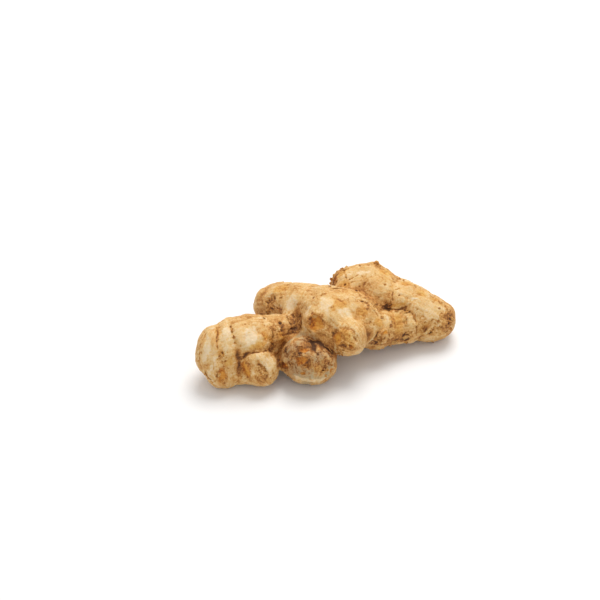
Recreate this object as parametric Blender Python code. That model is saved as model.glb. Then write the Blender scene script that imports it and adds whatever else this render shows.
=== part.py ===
"""Ginger rhizome: one branched root, grown as one solid, lying on its finger tips.

Frame: metres, +Z up, origin on the resting surface under the middle of the root's bounding box,
+X along the root from the swollen front finger to the far tip, -Y towards the knobbly front side.

The root is described as a distance field. Each finger is a chain of stations along its axis, and
the fingers and knobs are blended into each other. Node rings, finger scars and shallow lumps are
relief on that surface, each from a formula. The skin is the closed surface where the field is
zero, cut out of a grid of tetrahedra, evened out and thinned. The stations stand about a
millimetre off the frame above, so the finished skin is moved into it.
"""

import math

import bmesh
import bpy
import numpy as np
from mathutils import Matrix

MM = 0.001
NODE = "rhizome"

# The field is sampled on a grid with this cell, in a box this much larger than the root. The
# skin that comes out of it is finer than the last one, which keeps triangles for the relief.
CELL = 1.2 * MM
MARGIN = 3.0 * MM
TRIANGLES = 9600
STEPS_PER_SPAN = 3
# The corners of a grid cell, and the six tetrahedra round its long diagonal.
CORNERS = np.array([(i & 1, i >> 1 & 1, i >> 2) for i in range(8)])
TETRAHEDRA = [(0, 1, 3, 7), (0, 1, 5, 7), (0, 2, 3, 7), (0, 2, 6, 7), (0, 4, 5, 7), (0, 4, 6, 7)]
# How the points settle on the skin: rounds, longest move in one round, least slope assumed, and
# the step that the slope is measured with.
EVENING_ROUNDS = 5
REACH = 0.4 * MM
LEAST_STEEPNESS = 0.3
SLOPE_STEP = 0.05 * MM
# An edge bent by more than this many degrees is shaded as a sharp one.
SHARP_ANGLE = 50.0

# Stations along each finger's axis: x, y, z and radius, in millimetres.
# The main axis runs from the short rear finger through the thick middle to the far tip.
MAIN_AXIS = [
    (-22.9, 20.2, 9.2, 9.3),
    (-16.4, 16.2, 12.5, 9.8),
    (-9.4, 11.2, 15.8, 10.0),
    (1.1, 1.7, 18.5, 12.0),
    (10.1, 1.2, 17.5, 11.5),
    (18.1, -0.5, 14.0, 9.5),
    (26.1, 1.2, 11.7, 7.9),
    (33.1, 3.5, 10.6, 7.9),
    (40.1, 6.7, 10.0, 8.2),
    (46.1, 9.5, 8.9, 9.1),
    (47.9, 9.5, 8.7, 8.8),
]
# The swollen front finger, from the middle of the root to its round end.
FRONT_FINGER = [
    (-13.4, 0.5, 10.5, 7.0),
    (-23.4, -6.2, 14.2, 8.8),
    (-31.9, -10.8, 14.7, 11.2),
    (-39.0, -14.5, 15.0, 12.0),
]
# The lobe that hangs over the front finger's end, from its top to where it rests.
END_LOBE = [
    (-46.8, -17.0, 17.0, 9.0),
    (-46.9, -19.0, 12.5, 9.2),
    (-44.9, -22.0, 7.2, 7.6),
]
# The front knob, low down beside the end lobe.
FRONT_KNOB = [
    (-31.4, -19.6, 12.6, 7.8),
    (-29.0, -21.3, 8.8, 8.1),
]
# The finger that doubles back from the far tip, behind the main axis.
BACK_FINGER = [
    (46.1, 9.6, 10.4, 8.5),
    (40.1, 11.5, 13.0, 10.1),
    (33.6, 13.3, 15.0, 10.5),
    (26.6, 16.3, 16.0, 10.7),
    (19.1, 21.2, 17.6, 11.1),
    (12.6, 21.1, 16.7, 10.9),
]
# The grey stub that stands out in front, under the middle.
STUB = [
    (-8.9, -12.3, 13.0, 6.4),
    (-10.4, -17.8, 10.6, 10.0),
    (-5.9, -19.3, 10.2, 9.7),
]

# Node rings on each finger: distance along the axis from its first station and depth of the
# waist, in millimetres.
MAIN_RINGS = [(11.0, 0.35), (23.0, 0.3), (45.0, 0.15), (52.5, 0.35), (59.0, 0.4), (65.5, 0.45), (72.5, 0.8)]
FRONT_RINGS = [(7.0, 0.4), (16.5, 0.5)]
BACK_RINGS = [(5.0, 0.3), (12.0, 0.3), (19.5, 0.5), (33.0, 0.2)]

# Each finger with its rings and how softly it blends into what it grows from, in millimetres.
FINGERS = [
    (MAIN_AXIS, MAIN_RINGS, 0.0),
    (FRONT_FINGER, FRONT_RINGS, 4.0),
    (END_LOBE, [], 2.0),
    (FRONT_KNOB, [], 1.5),
    (BACK_FINGER, BACK_RINGS, 3.5),
    (STUB, [], 1.5),
]
# Round knobs: x, y, z, radius and how softly each blends in, in millimetres.
KNOBS = [
    (8.6, -12.3, 18.5, 8.4, 1.8),
    (1.1, -4.8, 20.0, 10.4, 3.0),
    (-4.4, -6.8, 21.5, 6.0, 2.0),
    (-13.0, 4.5, 17.0, 4.2, 3.0),
    (-12.0, 6.5, 20.5, 3.4, 3.0),
    (-37.2, -22.2, 7.6, 5.6, 2.0),
    (21.4, 25.8, 25.0, 2.6, 2.5),
    (-17.4, -16.3, 8.5, 4.8, 2.0),
]
# Scars where shoots and roots broke off: x, y, z, radius and depth, in millimetres. A scar is a
# shallow dish with a raised rim, and a negative depth makes it a swollen bud.
SCARS = [
    (-4.9, -11.7, 25.2, 3.4, 0.9),
    (7.9, -19.5, 23.2, 4.6, 0.8),
    (-29.4, -29.0, 13.6, 4.2, 0.7),
    (-44.5, -31.9, 14.5, 2.4, 1.1),
    (-10.4, -22.3, 19.9, 1.9, 0.5),
    (-11.6, -26.1, 16.5, 2.0, 0.6),
    (51.9, 3.7, 15.2, 3.2, 0.4),
    (-24.7, 12.1, 17.2, 3.6, 0.4),
    (24.1, -8.9, 14.2, 2.6, -0.8),
    (3.1, 20.2, 24.0, 4.5, 0.5),
    (6.6, 12.2, 14.0, 3.5, 0.7),
    (38.6, 20.2, 12.5, 2.6, -0.7),
    (-39.4, -4.8, 19.0, 3.0, 0.6),
]
# Folds in the skin: points near the skin that a fold runs through, its half width and its depth,
# in millimetres. The points are drawn onto the skin before the fold is sunk into it.
FOLDS = [
    # The front finger: the valley beside its end lobe, and the groove down that lobe.
    ([(-41, -14.5, 27), (-40, -19, 26), (-39, -22.5, 23.5)], 1.4, 0.7),
    ([(-39, -22.5, 23.5), (-37.5, -24.5, 20), (-37, -26, 15.5), (-37, -25, 9)], 1.6, 1.3),
    ([(-46.5, -14, 25.5), (-46, -19.5, 25.5), (-45, -23, 23), (-44, -27.5, 15), (-44.5, -29.5, 10.5)], 1.5, 0.9),
    # Over the front knob, and the node ring behind it.
    ([(-36, -25, 18), (-34, -24, 19), (-28.5, -22, 18.5), (-23.5, -17.5, 15.5)], 1.4, 1.2),
    ([(-33, -14.5, 26.5), (-30, -17, 25), (-26.5, -18, 22), (-21, -15.5, 14.5)], 1.3, 0.5),
    # The hollow where the front finger, the stub and the middle meet.
    ([(-14, 2.5, 21), (-13, -1.5, 20), (-13.5, -5, 18.5), (-15.5, -9.5, 17.5)], 2.4, 0.8),
    # Round the stub, and the gap between its two lobes.
    ([(-13, -11.5, 19), (-16, -13, 18), (-19, -14.5, 16), (-20.5, -16, 14), (-20.5, -22.5, 10.5)], 1.5, 1.4),
    ([(-13, -11.5, 19), (-10.5, -13, 19.5), (-3, -17.5, 19.5), (2.5, -20.5, 16)], 1.6, 1.5),
    ([(-6.5, -17, 18.5), (-6, -20, 19.5)], 1.9, 1.6),
    ([(-6, -20, 19.5), (-5.5, -23.5, 18.5), (-5, -26.5, 15.5)], 1.8, 0.5),
    # Between the knobs of the middle, and down the side of the lower one.
    ([(0.5, -12.5, 25.5), (2.5, -15, 24), (3.5, -17, 22), (2.5, -17.5, 18.5)], 2.0, 1.2),
    # Between the right arm and the back finger, and where the back finger meets the middle.
    ([(13, 0.5, 27.5), (18, 1, 25.5), (22, 3, 21.5), (26, 4, 19), (34, 5, 20)], 1.5, 0.9),
    ([(2.5, 4.5, 30), (7.5, 5, 29), (12.5, 6, 27), (14.5, 3.5, 27)], 1.5, 0.9),
    # The deep node ring of the right arm, and the fold under its bud.
    ([(34, 4, 19), (37, 2.5, 17.5), (39, 0.5, 15.5), (39, -2, 10.5)], 1.2, 0.7),
    ([(21.5, -8, 17.5), (20.5, -9.5, 15.5), (20.5, -9, 12.5), (26, -7, 9.5)], 1.1, 0.6),
]
# How many short moves draw a fold's points onto the skin.
FOLD_ROUNDS = 8

# Shape of a node ring: the waist's half width and the thin ridge beside it, in millimetres.
WAIST_WIDTH = 2.0
RIDGE_OFFSET = 1.6
RIDGE_WIDTH = 0.9
RIDGE_SHARE = 0.4
# Relief fades out where another finger's skin lies this much further out, in millimetres.
HANDOVER = 1.5

# Shape of a scar's rim: its place and width against the scar's radius, its height against the depth.
RIM_PLACE = 1.1
RIM_WIDTH = 0.28
RIM_SHARE = 0.4

# Shallow lumps all over the skin: wavelength and height, in millimetres.
LUMPS = [(22.0, 0.4), (9.0, 0.25)]
# How far a node ring wanders: wavelength and reach, in millimetres, and the noise's seed.
RING_WANDER = (18.0, 0.8, 11)
WAVES_PER_NOISE = 14


def smooth_path(stations):
    """Points and radii along a smooth curve through the stations, in metres."""
    knots = np.array(stations, float) * MM
    padded = np.vstack([2 * knots[0] - knots[1], knots, 2 * knots[-1] - knots[-2]])
    samples = []
    for i in range(len(knots) - 1):
        p0, p1, p2, p3 = padded[i : i + 4]
        for step in range(STEPS_PER_SPAN):
            t = step / STEPS_PER_SPAN
            linear = (p2 - p0) * t
            square = (2 * p0 - 5 * p1 + 4 * p2 - p3) * t**2
            cube = (3 * p1 - p0 - 3 * p2 + p3) * t**3
            samples.append((2 * p1 + linear + square + cube) / 2)
    samples.append(knots[-1])
    return np.array(samples)


def smooth_noise(points, wavelength, seed):
    """Smooth irregular values from about -1 to 1, from waves in seeded directions."""
    draws = np.random.RandomState(seed)
    directions = draws.normal(size=(WAVES_PER_NOISE, 3))
    directions /= np.linalg.norm(directions, axis=1)[:, None]
    lengths = wavelength * MM * draws.uniform(0.7, 1.5, WAVES_PER_NOISE)
    phases = draws.uniform(0, 2 * math.pi, WAVES_PER_NOISE)
    waves = np.sin(points @ (directions / lengths[:, None]).T * 2 * math.pi + phases)
    return waves.sum(1) / math.sqrt(WAVES_PER_NOISE)


def finger_distance(points, path):
    """Distance of each point to one finger: tapering round rods from sample to sample."""
    nearest = np.full(len(points), np.inf)
    for start, end in zip(path[:-1], path[1:]):
        span = end[:3] - start[:3]
        share = np.clip((points - start[:3]) @ span / (span @ span), 0, 1)
        centre = start[:3] + share[:, None] * span
        radius = start[3] + share * (end[3] - start[3])
        nearest = np.minimum(nearest, np.linalg.norm(points - centre, axis=1) - radius)
    return nearest


def ring_planes(path, rings):
    """Where each node ring crosses its finger's axis, which way the axis runs there, and depth."""
    spans = np.diff(path[:, :3], axis=0)
    lengths = np.linalg.norm(spans, axis=1)
    travelled = np.concatenate([[0], np.cumsum(lengths)])
    planes = []
    for place, depth in rings:
        i = min(np.searchsorted(travelled, place * MM) - 1, len(spans) - 1)
        direction = spans[i] / lengths[i]
        centre = path[i, :3] + direction * (place * MM - travelled[i])
        planes.append((centre, direction, depth * MM))
    return planes


def blend(first, second, softness):
    """Smooth minimum of two distances."""
    if softness <= 0:
        return np.minimum(first, second)
    overlap = np.maximum(softness - np.abs(first - second), 0) / softness
    return np.minimum(first, second) - overlap**2 * softness / 4


PATHS = [smooth_path(stations) for stations, _, _ in FINGERS]
RING_PLANES = [ring_planes(path, rings) for path, (_, rings, _) in zip(PATHS, FINGERS)]


def ring_relief(points, planes, wander):
    """Depth of the waists and height of the ridges that one finger's node rings make."""
    relief = np.zeros(len(points))
    for centre, direction, depth in planes:
        offset = ((points - centre) @ direction + wander) / MM
        relief += depth * np.exp(-((offset / WAIST_WIDTH) ** 2))
        relief -= depth * RIDGE_SHARE * np.exp(-(((offset - RIDGE_OFFSET) / RIDGE_WIDTH) ** 2))
    return relief


def scar_relief(points):
    """Depth of the scars' dishes and height of their rims."""
    relief = np.zeros(len(points))
    for x, y, z, radius, depth in SCARS:
        reach = np.linalg.norm(points / MM - (x, y, z), axis=1) / radius
        relief += depth * MM * np.exp(-(reach**4))
        if depth > 0:
            relief -= depth * RIM_SHARE * MM * np.exp(-(((reach - RIM_PLACE) / RIM_WIDTH) ** 2))
    return relief


def unfolded_field(points):
    """Distance of each point to the root's skin, were there no folds in it, negative inside."""
    skins = [finger_distance(points, path) for path in PATHS]
    distance = skins[0]
    for skin, (_, _, softness) in zip(skins[1:], FINGERS[1:]):
        distance = blend(distance, skin, softness * MM)
    for x, y, z, radius, softness in KNOBS:
        centre = np.array((x, y, z)) * MM
        knob = np.linalg.norm(points - centre, axis=1) - radius * MM
        distance = blend(distance, knob, softness * MM)
    bare = distance
    wavelength, reach, seed = RING_WANDER
    wander = reach * MM * smooth_noise(points, wavelength, seed)
    for skin, planes in zip(skins, RING_PLANES):
        nearness = np.exp(-(((skin - bare) / (HANDOVER * MM)) ** 2))
        distance = distance + nearness * ring_relief(points, planes, wander)
    distance = distance + scar_relief(points)
    for seed, (wavelength, height) in enumerate(LUMPS):
        distance = distance + height * MM * smooth_noise(points, wavelength, seed)
    return distance


def gradient(field, points):
    """Slope of a field at each point."""
    values = field(points)
    slopes = [(field(points + SLOPE_STEP * axis) - values) / SLOPE_STEP for axis in np.eye(3)]
    return np.stack(slopes, axis=1)


def drawn_onto_surface(field, points):
    """Points moved along a field's slope onto the surface where it is zero."""
    slope = gradient(field, points)
    steepness = np.maximum((slope**2).sum(1), LEAST_STEEPNESS)
    move = np.clip(field(points) / steepness, -REACH, REACH)
    return points - slope * move[:, None]


def sunk_routes():
    """Each fold's points, drawn onto the skin and then sunk by half the fold's depth."""
    routes = []
    for route, _, depth in FOLDS:
        points = np.array(route, float) * MM
        for _ in range(FOLD_ROUNDS):
            points = drawn_onto_surface(unfolded_field, points)
        outwards = gradient(unfolded_field, points)
        outwards /= np.linalg.norm(outwards, axis=1)[:, None]
        routes.append(points - outwards * depth / 2 * MM)
    return routes


SUNK_ROUTES = sunk_routes()


def fold_relief(points):
    """Depth of the folds in the skin."""
    relief = np.zeros(len(points))
    for route, (_, width, depth) in zip(SUNK_ROUTES, FOLDS):
        nearest = np.full(len(points), np.inf)
        for start, end in zip(route[:-1], route[1:]):
            span = end - start
            share = np.clip((points - start) @ span / (span @ span), 0, 1)
            away = np.linalg.norm(points - start - share[:, None] * span, axis=1)
            nearest = np.minimum(nearest, away)
        fade = np.exp((depth**2 / 4 - (nearest / MM) ** 2) / width**2)
        relief += depth * MM * fade
    return relief


def root_field(points):
    """Distance of each point to the root's skin, negative inside."""
    return unfolded_field(points) + fold_relief(points)


def sampled_box():
    """Lowest corner of a box round the root, and how many grid points it takes each way."""
    balls = np.vstack(PATHS + [np.array([knob[:4] for knob in KNOBS]) * MM])
    low = (balls[:, :3] - balls[:, 3:]).min(0) - MARGIN
    high = (balls[:, :3] + balls[:, 3:]).max(0) + MARGIN
    return low, np.ceil((high - low) / CELL).astype(int) + 1


def cut_tetrahedron(corners, inside):
    """Triangles that split one tetrahedron of each cell, each point as a pair of grid corners."""
    triangles = []
    counts = inside.sum(1)
    for count in (1, 3):
        chosen = counts == count
        apart = inside[chosen] == (count == 1)
        apex = corners[chosen][apart]
        others = corners[chosen][~apart].reshape(-1, 3)
        pairs = [np.stack([apex, others[:, i]], axis=1) for i in range(3)]
        triangles.append(np.stack(pairs, axis=1))
    chosen = counts == 2
    within = corners[chosen][inside[chosen]].reshape(-1, 2)
    without = corners[chosen][~inside[chosen]].reshape(-1, 2)
    ring = ((0, 0), (0, 1), (1, 1), (1, 0))
    pairs = [np.stack([within[:, i], without[:, j]], axis=1) for i, j in ring]
    triangles.append(np.stack([pairs[0], pairs[1], pairs[2]], axis=1))
    triangles.append(np.stack([pairs[0], pairs[2], pairs[3]], axis=1))
    return np.concatenate(triangles)


def skin_mesh():
    """The closed surface where the field is zero, cut out of a grid of small tetrahedra."""
    low, counts = sampled_box()
    places = np.stack(np.meshgrid(*[np.arange(n) for n in counts], indexing="ij"), axis=-1)
    points = low + places.reshape(-1, 3) * CELL
    values = root_field(points)
    strides = np.array([counts[1] * counts[2], counts[2], 1])
    origins = (places[:-1, :-1, :-1].reshape(-1, 3) @ strides)[:, None]
    corners = origins + CORNERS @ strides
    inside = values[corners] < 0
    mixed = inside.any(1) & ~inside.all(1)
    cuts = [cut_tetrahedron(corners[mixed][:, way], inside[mixed][:, way]) for way in TETRAHEDRA]
    pairs = np.sort(np.concatenate(cuts).reshape(-1, 2), axis=1)
    edges, triangles = np.unique(pairs, axis=0, return_inverse=True)
    first, second = values[edges[:, 0]], values[edges[:, 1]]
    share = (first / (first - second))[:, None]
    places = points[edges[:, 0]] * (1 - share) + points[edges[:, 1]] * share
    mesh = bpy.data.meshes.new(NODE)
    mesh.from_pydata(places, [], triangles.reshape(-1, 3))
    return mesh


def face_outwards(mesh):
    """Turns every face of the closed mesh outwards."""
    made = bmesh.new()
    made.from_mesh(mesh)
    bmesh.ops.recalc_face_normals(made, faces=made.faces)
    made.to_mesh(mesh)
    made.free()


def relaxed(points, edges):
    """Each point moved halfway to the mean of its neighbours."""
    total = np.zeros_like(points)
    count = np.zeros(len(points))
    for a, b in ((0, 1), (1, 0)):
        np.add.at(total, edges[:, a], points[edges[:, b]])
        np.add.at(count, edges[:, a], 1)
    return (points + total / count[:, None]) / 2


def even_out(mesh):
    """Evens out the sizes of the faces, keeping their points on the skin."""
    points = np.empty(len(mesh.vertices) * 3)
    mesh.vertices.foreach_get("co", points)
    points = points.reshape(-1, 3)
    edges = np.empty(len(mesh.edges) * 2, int)
    mesh.edges.foreach_get("vertices", edges)
    edges = edges.reshape(-1, 2)
    for _ in range(EVENING_ROUNDS):
        points = drawn_onto_surface(root_field, relaxed(points, edges))
    mesh.vertices.foreach_set("co", points.ravel())
    mesh.update()


def thin_out(target):
    """Fewer triangles where the skin is smooth, keeping the creases and ridges."""
    decimate = target.modifiers.new("fewer faces", "DECIMATE")
    decimate.ratio = TRIANGLES / len(target.data.polygons)
    decimate.use_collapse_triangulate = True
    evaluated = target.evaluated_get(bpy.context.evaluated_depsgraph_get())
    made = bpy.data.meshes.new_from_object(evaluated)
    full = target.data
    target.modifiers.clear()
    target.data = made
    bpy.data.meshes.remove(full)


def flatten_contact_spots(mesh):
    """The skin below the resting surface becomes small flat spots on it."""
    for vertex in mesh.vertices:
        vertex.co.z = max(vertex.co.z, 0.0)


def stand_over_origin(mesh):
    """Moves the root along the resting surface, its bounding box's middle over the origin."""
    points = np.array([vertex.co for vertex in mesh.vertices])
    middle = (points.min(0) + points.max(0)) / 2
    mesh.transform(Matrix.Translation((-middle[0], -middle[1], 0)))


def skin_material():
    """Pale tan ginger skin."""
    material = bpy.data.materials.new("ginger skin")
    material.use_nodes = True
    shader = material.node_tree.nodes["Principled BSDF"]
    shader.inputs["Base Color"].default_value = (0.62, 0.42, 0.2, 1)
    shader.inputs["Roughness"].default_value = 0.7
    shader.inputs["Metallic"].default_value = 0.0
    return material


def main():
    for old in list(bpy.data.objects):
        bpy.data.objects.remove(old, do_unlink=True)
    mesh = skin_mesh()
    even_out(mesh)
    face_outwards(mesh)
    root = bpy.data.objects.new(NODE, mesh)
    bpy.context.scene.collection.objects.link(root)
    thin_out(root)
    flatten_contact_spots(root.data)
    stand_over_origin(root.data)
    root.data.materials.append(skin_material())
    root.data.shade_smooth()
    root.data.set_sharp_from_angle(angle=math.radians(SHARP_ANGLE))


main()
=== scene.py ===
"""Looks of the ginger rhizome: its mottled skin, with rings, scars, flecks, crumbs and dry scales.

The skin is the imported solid's own surface, remeshed finely. Every mark on it is a field over its
points: the field shapes the relief, and is kept as an attribute that the material colours. Marks
that can be seen from the front are placed by a ray through a point of the 600 by 600 picture, so
they sit on the skin that carries them. The rings and the marks on the hidden sides are placed in
the root's own frame: metres, +Z up, origin on the resting surface under the root's middle.
"""

import math
from types import SimpleNamespace

import bmesh
import bpy
import numpy as np
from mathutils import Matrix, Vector, noise
from mathutils.bvhtree import BVHTree

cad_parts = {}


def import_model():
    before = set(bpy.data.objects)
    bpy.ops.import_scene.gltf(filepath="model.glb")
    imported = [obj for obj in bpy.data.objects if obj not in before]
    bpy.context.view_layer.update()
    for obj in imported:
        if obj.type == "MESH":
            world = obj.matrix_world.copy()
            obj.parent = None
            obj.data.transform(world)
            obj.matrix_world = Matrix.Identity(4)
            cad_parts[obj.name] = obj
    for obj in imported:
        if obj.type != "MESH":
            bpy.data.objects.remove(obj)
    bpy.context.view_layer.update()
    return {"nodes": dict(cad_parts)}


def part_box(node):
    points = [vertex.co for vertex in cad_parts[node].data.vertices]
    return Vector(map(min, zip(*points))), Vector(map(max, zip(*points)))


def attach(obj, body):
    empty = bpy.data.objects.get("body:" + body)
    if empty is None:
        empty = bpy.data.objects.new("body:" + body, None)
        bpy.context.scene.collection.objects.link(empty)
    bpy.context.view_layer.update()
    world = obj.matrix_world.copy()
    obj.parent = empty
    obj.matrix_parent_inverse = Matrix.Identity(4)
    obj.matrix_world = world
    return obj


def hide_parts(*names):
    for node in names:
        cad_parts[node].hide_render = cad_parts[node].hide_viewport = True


MM = 0.001

# Camera: a long lens that looks down on the root from the front.
ELEVATION = math.radians(40.0)
DISTANCE = 0.652
AIM = Vector((-0.0121, 0.0324, 0.0))
LENS = 85.0
SENSOR = 36.0
PICTURE = 600

# Light and floor: white surroundings, one square light, and a plain pale plane.
WORLD_STRENGTH = 0.80
KEY_PLACE = Vector((0.12, 0.36, 0.85))
KEY_SIZE = 0.55
KEY_POWER = 6.4
FLOOR_SIZE = 6.0
FLOOR_COLOUR = (0.81, 0.805, 0.80, 1)

# Skin mesh: size of its cells, the distance within which the solid's points are merged first, and
# how often its points are averaged: to lose the solid's facets, and to find fine and broad hollows.
VOXEL = 0.45 * MM
MERGE_DISTANCE = 0.001 * MM
SMOOTHING_ROUNDS = 10
HOLLOW_ROUNDS = (8, 120)

# Noise: how far apart it is read for each seed and octave, and what brings it near -1 and 1.
SEED_SHIFT = 17.3
OCTAVE_SHIFT = 5.1
NOISE_GAIN = 1.6

# Grain axes: x, y, z and radius along each finger, in millimetres. Fine lines run along them.
AXES = {
    "main": [
        (-22.9, 20.2, 9.2, 9.3), (-16.4, 16.2, 12.5, 9.8), (-9.4, 11.2, 15.8, 10),
        (1.1, 1.7, 18.5, 12), (10.1, 1.2, 17.5, 11.5), (18.1, -0.5, 14, 9.5),
        (26.1, 1.2, 11.7, 7.9), (33.1, 3.5, 10.6, 7.9), (40.1, 6.7, 10, 8.2),
        (46.1, 9.5, 8.9, 9.1), (47.9, 9.5, 8.7, 8.8),
    ],
    "front": [
        (-13.4, 0.5, 10.5, 7), (-23.4, -6.2, 14.2, 8.8), (-31.9, -10.8, 14.7, 11.2),
        (-39, -14.5, 15, 12),
    ],
    "lobe": [
        (-46.8, -17, 17, 9), (-46.9, -19, 12.5, 9.2), (-44.9, -22, 7.2, 7.6),
    ],
    "knob": [
        (-31.4, -19.6, 12.6, 7.8), (-29, -21.3, 8.8, 8.1),
    ],
    "back": [
        (40.1, 11.5, 13, 10.1), (33.6, 13.3, 15, 10.5), (26.6, 16.3, 16, 10.7),
        (19.1, 21.2, 17.6, 11.1), (12.6, 21.1, 16.7, 10.9),
    ],
    "stub": [
        (-9.5, -12.3, 13, 6.4), (-8.5, -19, 10.4, 10.5),
    ],
    "boss": [
        (1.1, -4.8, 20, 10.4), (8.6, -12.3, 18.5, 8.4),
    ],
}
# Where the axes' own origin lies in the root's frame.
AXES_ORIGIN = np.array((-0.36, -1.34, 0.0)) * MM
# How far one finger's grain reaches into the next, and by how much lengths along it are shrunk for
# the noise, which draws the lines out.
GRAIN_OVERLAP = 1.5 * MM
GRAIN_STRETCH = 0.12

# Node rings: finger, distance along its axis in millimetres, and strength.
RINGS = [
    ("main", 2, 0.6), ("main", 11, 0.5), ("main", 45, 0.3),
    ("main", 52.5, 0.6), ("main", 56, 0.3), ("main", 59, 0.6),
    ("main", 65.5, 0.6), ("main", 72.5, 0.8), ("main", 81, 0.5),
    ("front", 7, 0.5), ("front", 16.5, 0.7), ("back", 5, 0.4),
    ("back", 12, 0.4), ("back", 19.5, 0.6), ("back", 27, 0.3),
    ("back", 33, 0.5),
]
# How the rings waver: wavelength and reach in millimetres, and seed.
RING_WANDER = (18, 0.8, 11)

# Dry scales and fibres: how many points make one, how thick they are and between which tones. A
# scale starts this share of its length behind its place, in the skin. A fibre strays by 0.12 mm.
SCRAP_SEED = 5
SCALE_CELLS = (7, 7)
SCALE_ROOT = 0.4
SCALE_THICKNESS = 0.22 * MM
SCALE_TONES = (0.24, 0.54)
FIBRE_CELLS = (14, 6)
FIBRE_RADIUS = 0.20 * MM
FIBRE_STRAY = 0.12
FIBRE_TONES = (0.22, 0.42)
# How many scales come by themselves, and their least and most length, width and lift. Those of a
# ring grow within this distance of it, in millimetres, where it has at least this strength.
SCALES_PER_RING = 9
RING_REACH = 0.3
RING_LEAST = 0.2
RING_SCALES = ((0.6, 1.1), (1.0, 2.6), (15, 45))
LOOSE_SCALES = 40
CHANCE_SCALES = ((0.5, 1.1), (0.5, 1.4), (20, 60))

# The skin's colours from dark pits to freshly peeled places, each with its place on the tone scale.
TONES = [
    (0.00, (0.090, 0.034, 0.010, 1)),
    (0.18, (0.240, 0.090, 0.018, 1)),
    (0.34, (0.435, 0.180, 0.036, 1)),
    (0.50, (0.605, 0.315, 0.090, 1)),
    (0.64, (0.690, 0.440, 0.175, 1)),
    (0.80, (0.740, 0.540, 0.300, 1)),
    (1.00, (0.800, 0.635, 0.430, 1)),
]
GREY_TONE = (0.37, 0.285, 0.165, 1)
# Tints that the skin's own colour is multiplied by.
AMBER_TINT = (0.92, 0.61, 0.15, 1)
OCHRE_TINT = (0.98, 0.84, 0.42, 1)
# How strongly grey and ochre are laid on, and how far grit and specks move the tone.
TINT_SHARE = 0.85
GRIT_SHARE = 0.35
SPECK_SHARE = 0.12
# How deep the finest grain is, and how far light goes into the flesh.
BUMP_DEPTH = 0.45 * MM
FLESH_DEPTH = 1.0 * MM

# Marks seen from the front, each by its place in the picture: across and down in pixels, half
# length and half width in millimetres, and, if it is turned, its angle to the horizontal.
# Places where the outer skin has peeled off.
PEELED = [
    (225, 338, 6, 2.2, 93), (251.5, 335.5, 4.6, 2.9, 80), (267.5, 323, 2.6, 1.8, 75),
    (250, 317.3, 1.3, 0.5, 5), (326, 302, 3.6, 3.2, 60), (326.5, 313.5, 2.4, 1, 100),
    (346, 313, 3.4, 2.6), (308, 311, 2.6, 1.3, 80), (291, 303, 3.6, 2.8, -20),
    (364, 272, 3.4, 1.1, 5), (397, 282, 2, 0.8, -20), (386.5, 317, 1.6, 0.6, 95),
    (413, 300, 2.4, 1), (207, 346, 4, 1.6, 95), (311, 380.5, 8, 1.1),
    (270, 361, 3.6, 1.8, 60), (212, 364, 3.2, 1.5, 80), (204, 358, 2.6, 1, 95),
    (253, 370, 1.9, 0.9, 90), (260.6, 373.8, 1.1, 0.35),
]
# Broad places where the skin is a little paler.
PALE = [
    (211, 348, 8.5, 3.6, 92), (226, 344, 7, 3.4, 95), (251, 334, 6, 5, 80),
    (256, 362, 4.5, 3.4, 90), (213, 378, 4, 2.2, -30), (232, 378, 2.6, 4),
    (252, 376, 1.2, 3, 80), (290, 303, 5.5, 3.6, -10), (326, 304, 6, 4.6, 60),
    (346, 316, 6, 5), (386, 320, 3.6, 2.6, 90), (408, 322, 3.6, 2.6, 90),
    (428, 308, 6, 4, -20), (360, 276, 7, 3.4, 10), (402, 290, 7, 3.4, -20),
]
# Broad places where the skin is smooth and its grain faint.
SMOOTH = [
    (362, 277, 9, 5.5), (384, 290, 8, 6, -20), (405, 292, 7, 3.6, -25),
    (430, 304, 6, 3.6, -25), (250, 334, 6.5, 6), (212, 350, 8, 4.6, 92),
    (231, 348, 8, 4, 92), (326, 303, 6, 5, 60), (348, 311, 7, 6),
    (291, 302, 6, 4, -10), (316, 334, 4, 2.2, -20), (394, 318, 6.5, 5),
    (374, 318, 4.5, 4), (362, 322, 3.5, 5),
]
# Yellower places.
OCHRE = [
    (340, 302.5, 3, 2.4), (333.8, 308, 2, 0.7, 80), (361, 312, 2.4, 2.6),
    (397, 321, 3.6, 2.8, 90), (399, 331, 2.6, 1.6), (378, 322, 2.2, 1.6),
    (217.5, 331, 2.6, 0.9, 90), (221.5, 354, 1.6, 1.2), (229, 362, 2.6, 1.6, 60),
    (257, 346, 3.8, 1.6, 10), (343, 272, 3, 2, 30), (406, 284, 2.8, 1.4, -10),
    (421, 293, 2.4, 1.8, -35), (435, 299.5, 1.8, 1.2, -20), (398, 305, 3.2, 1.1, 5),
    (281, 288, 4.6, 2.4), (385, 272, 3.5, 2, -30), (423, 329, 3.2, 1.6, 80),
    (321.6, 326.8, 1, 0.9), (347, 338, 2.6, 2.4), (344, 331.5, 2, 1, 20),
    (352, 345, 2, 1, -40), (265, 336.5, 2.2, 1.4, -60), (271.5, 341, 2.8, 0.9, -35),
    (319.5, 324.5, 1.7, 2), (232, 362, 3, 0.8, 92), (245.8, 368, 2.8, 1.2, 92),
    (222.4, 376, 2.2, 0.8, 86), (305, 350.5, 1.2, 1), (304, 361, 1.4, 1.2),
    (288, 366, 1.2, 0.8), (281, 337, 2.6, 2, 60), (345, 284, 2.6, 2),
    (322, 366, 3.4, 2.6, 60), (310, 362, 2, 2.6), (344, 345, 2.6, 1.4),
]
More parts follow.
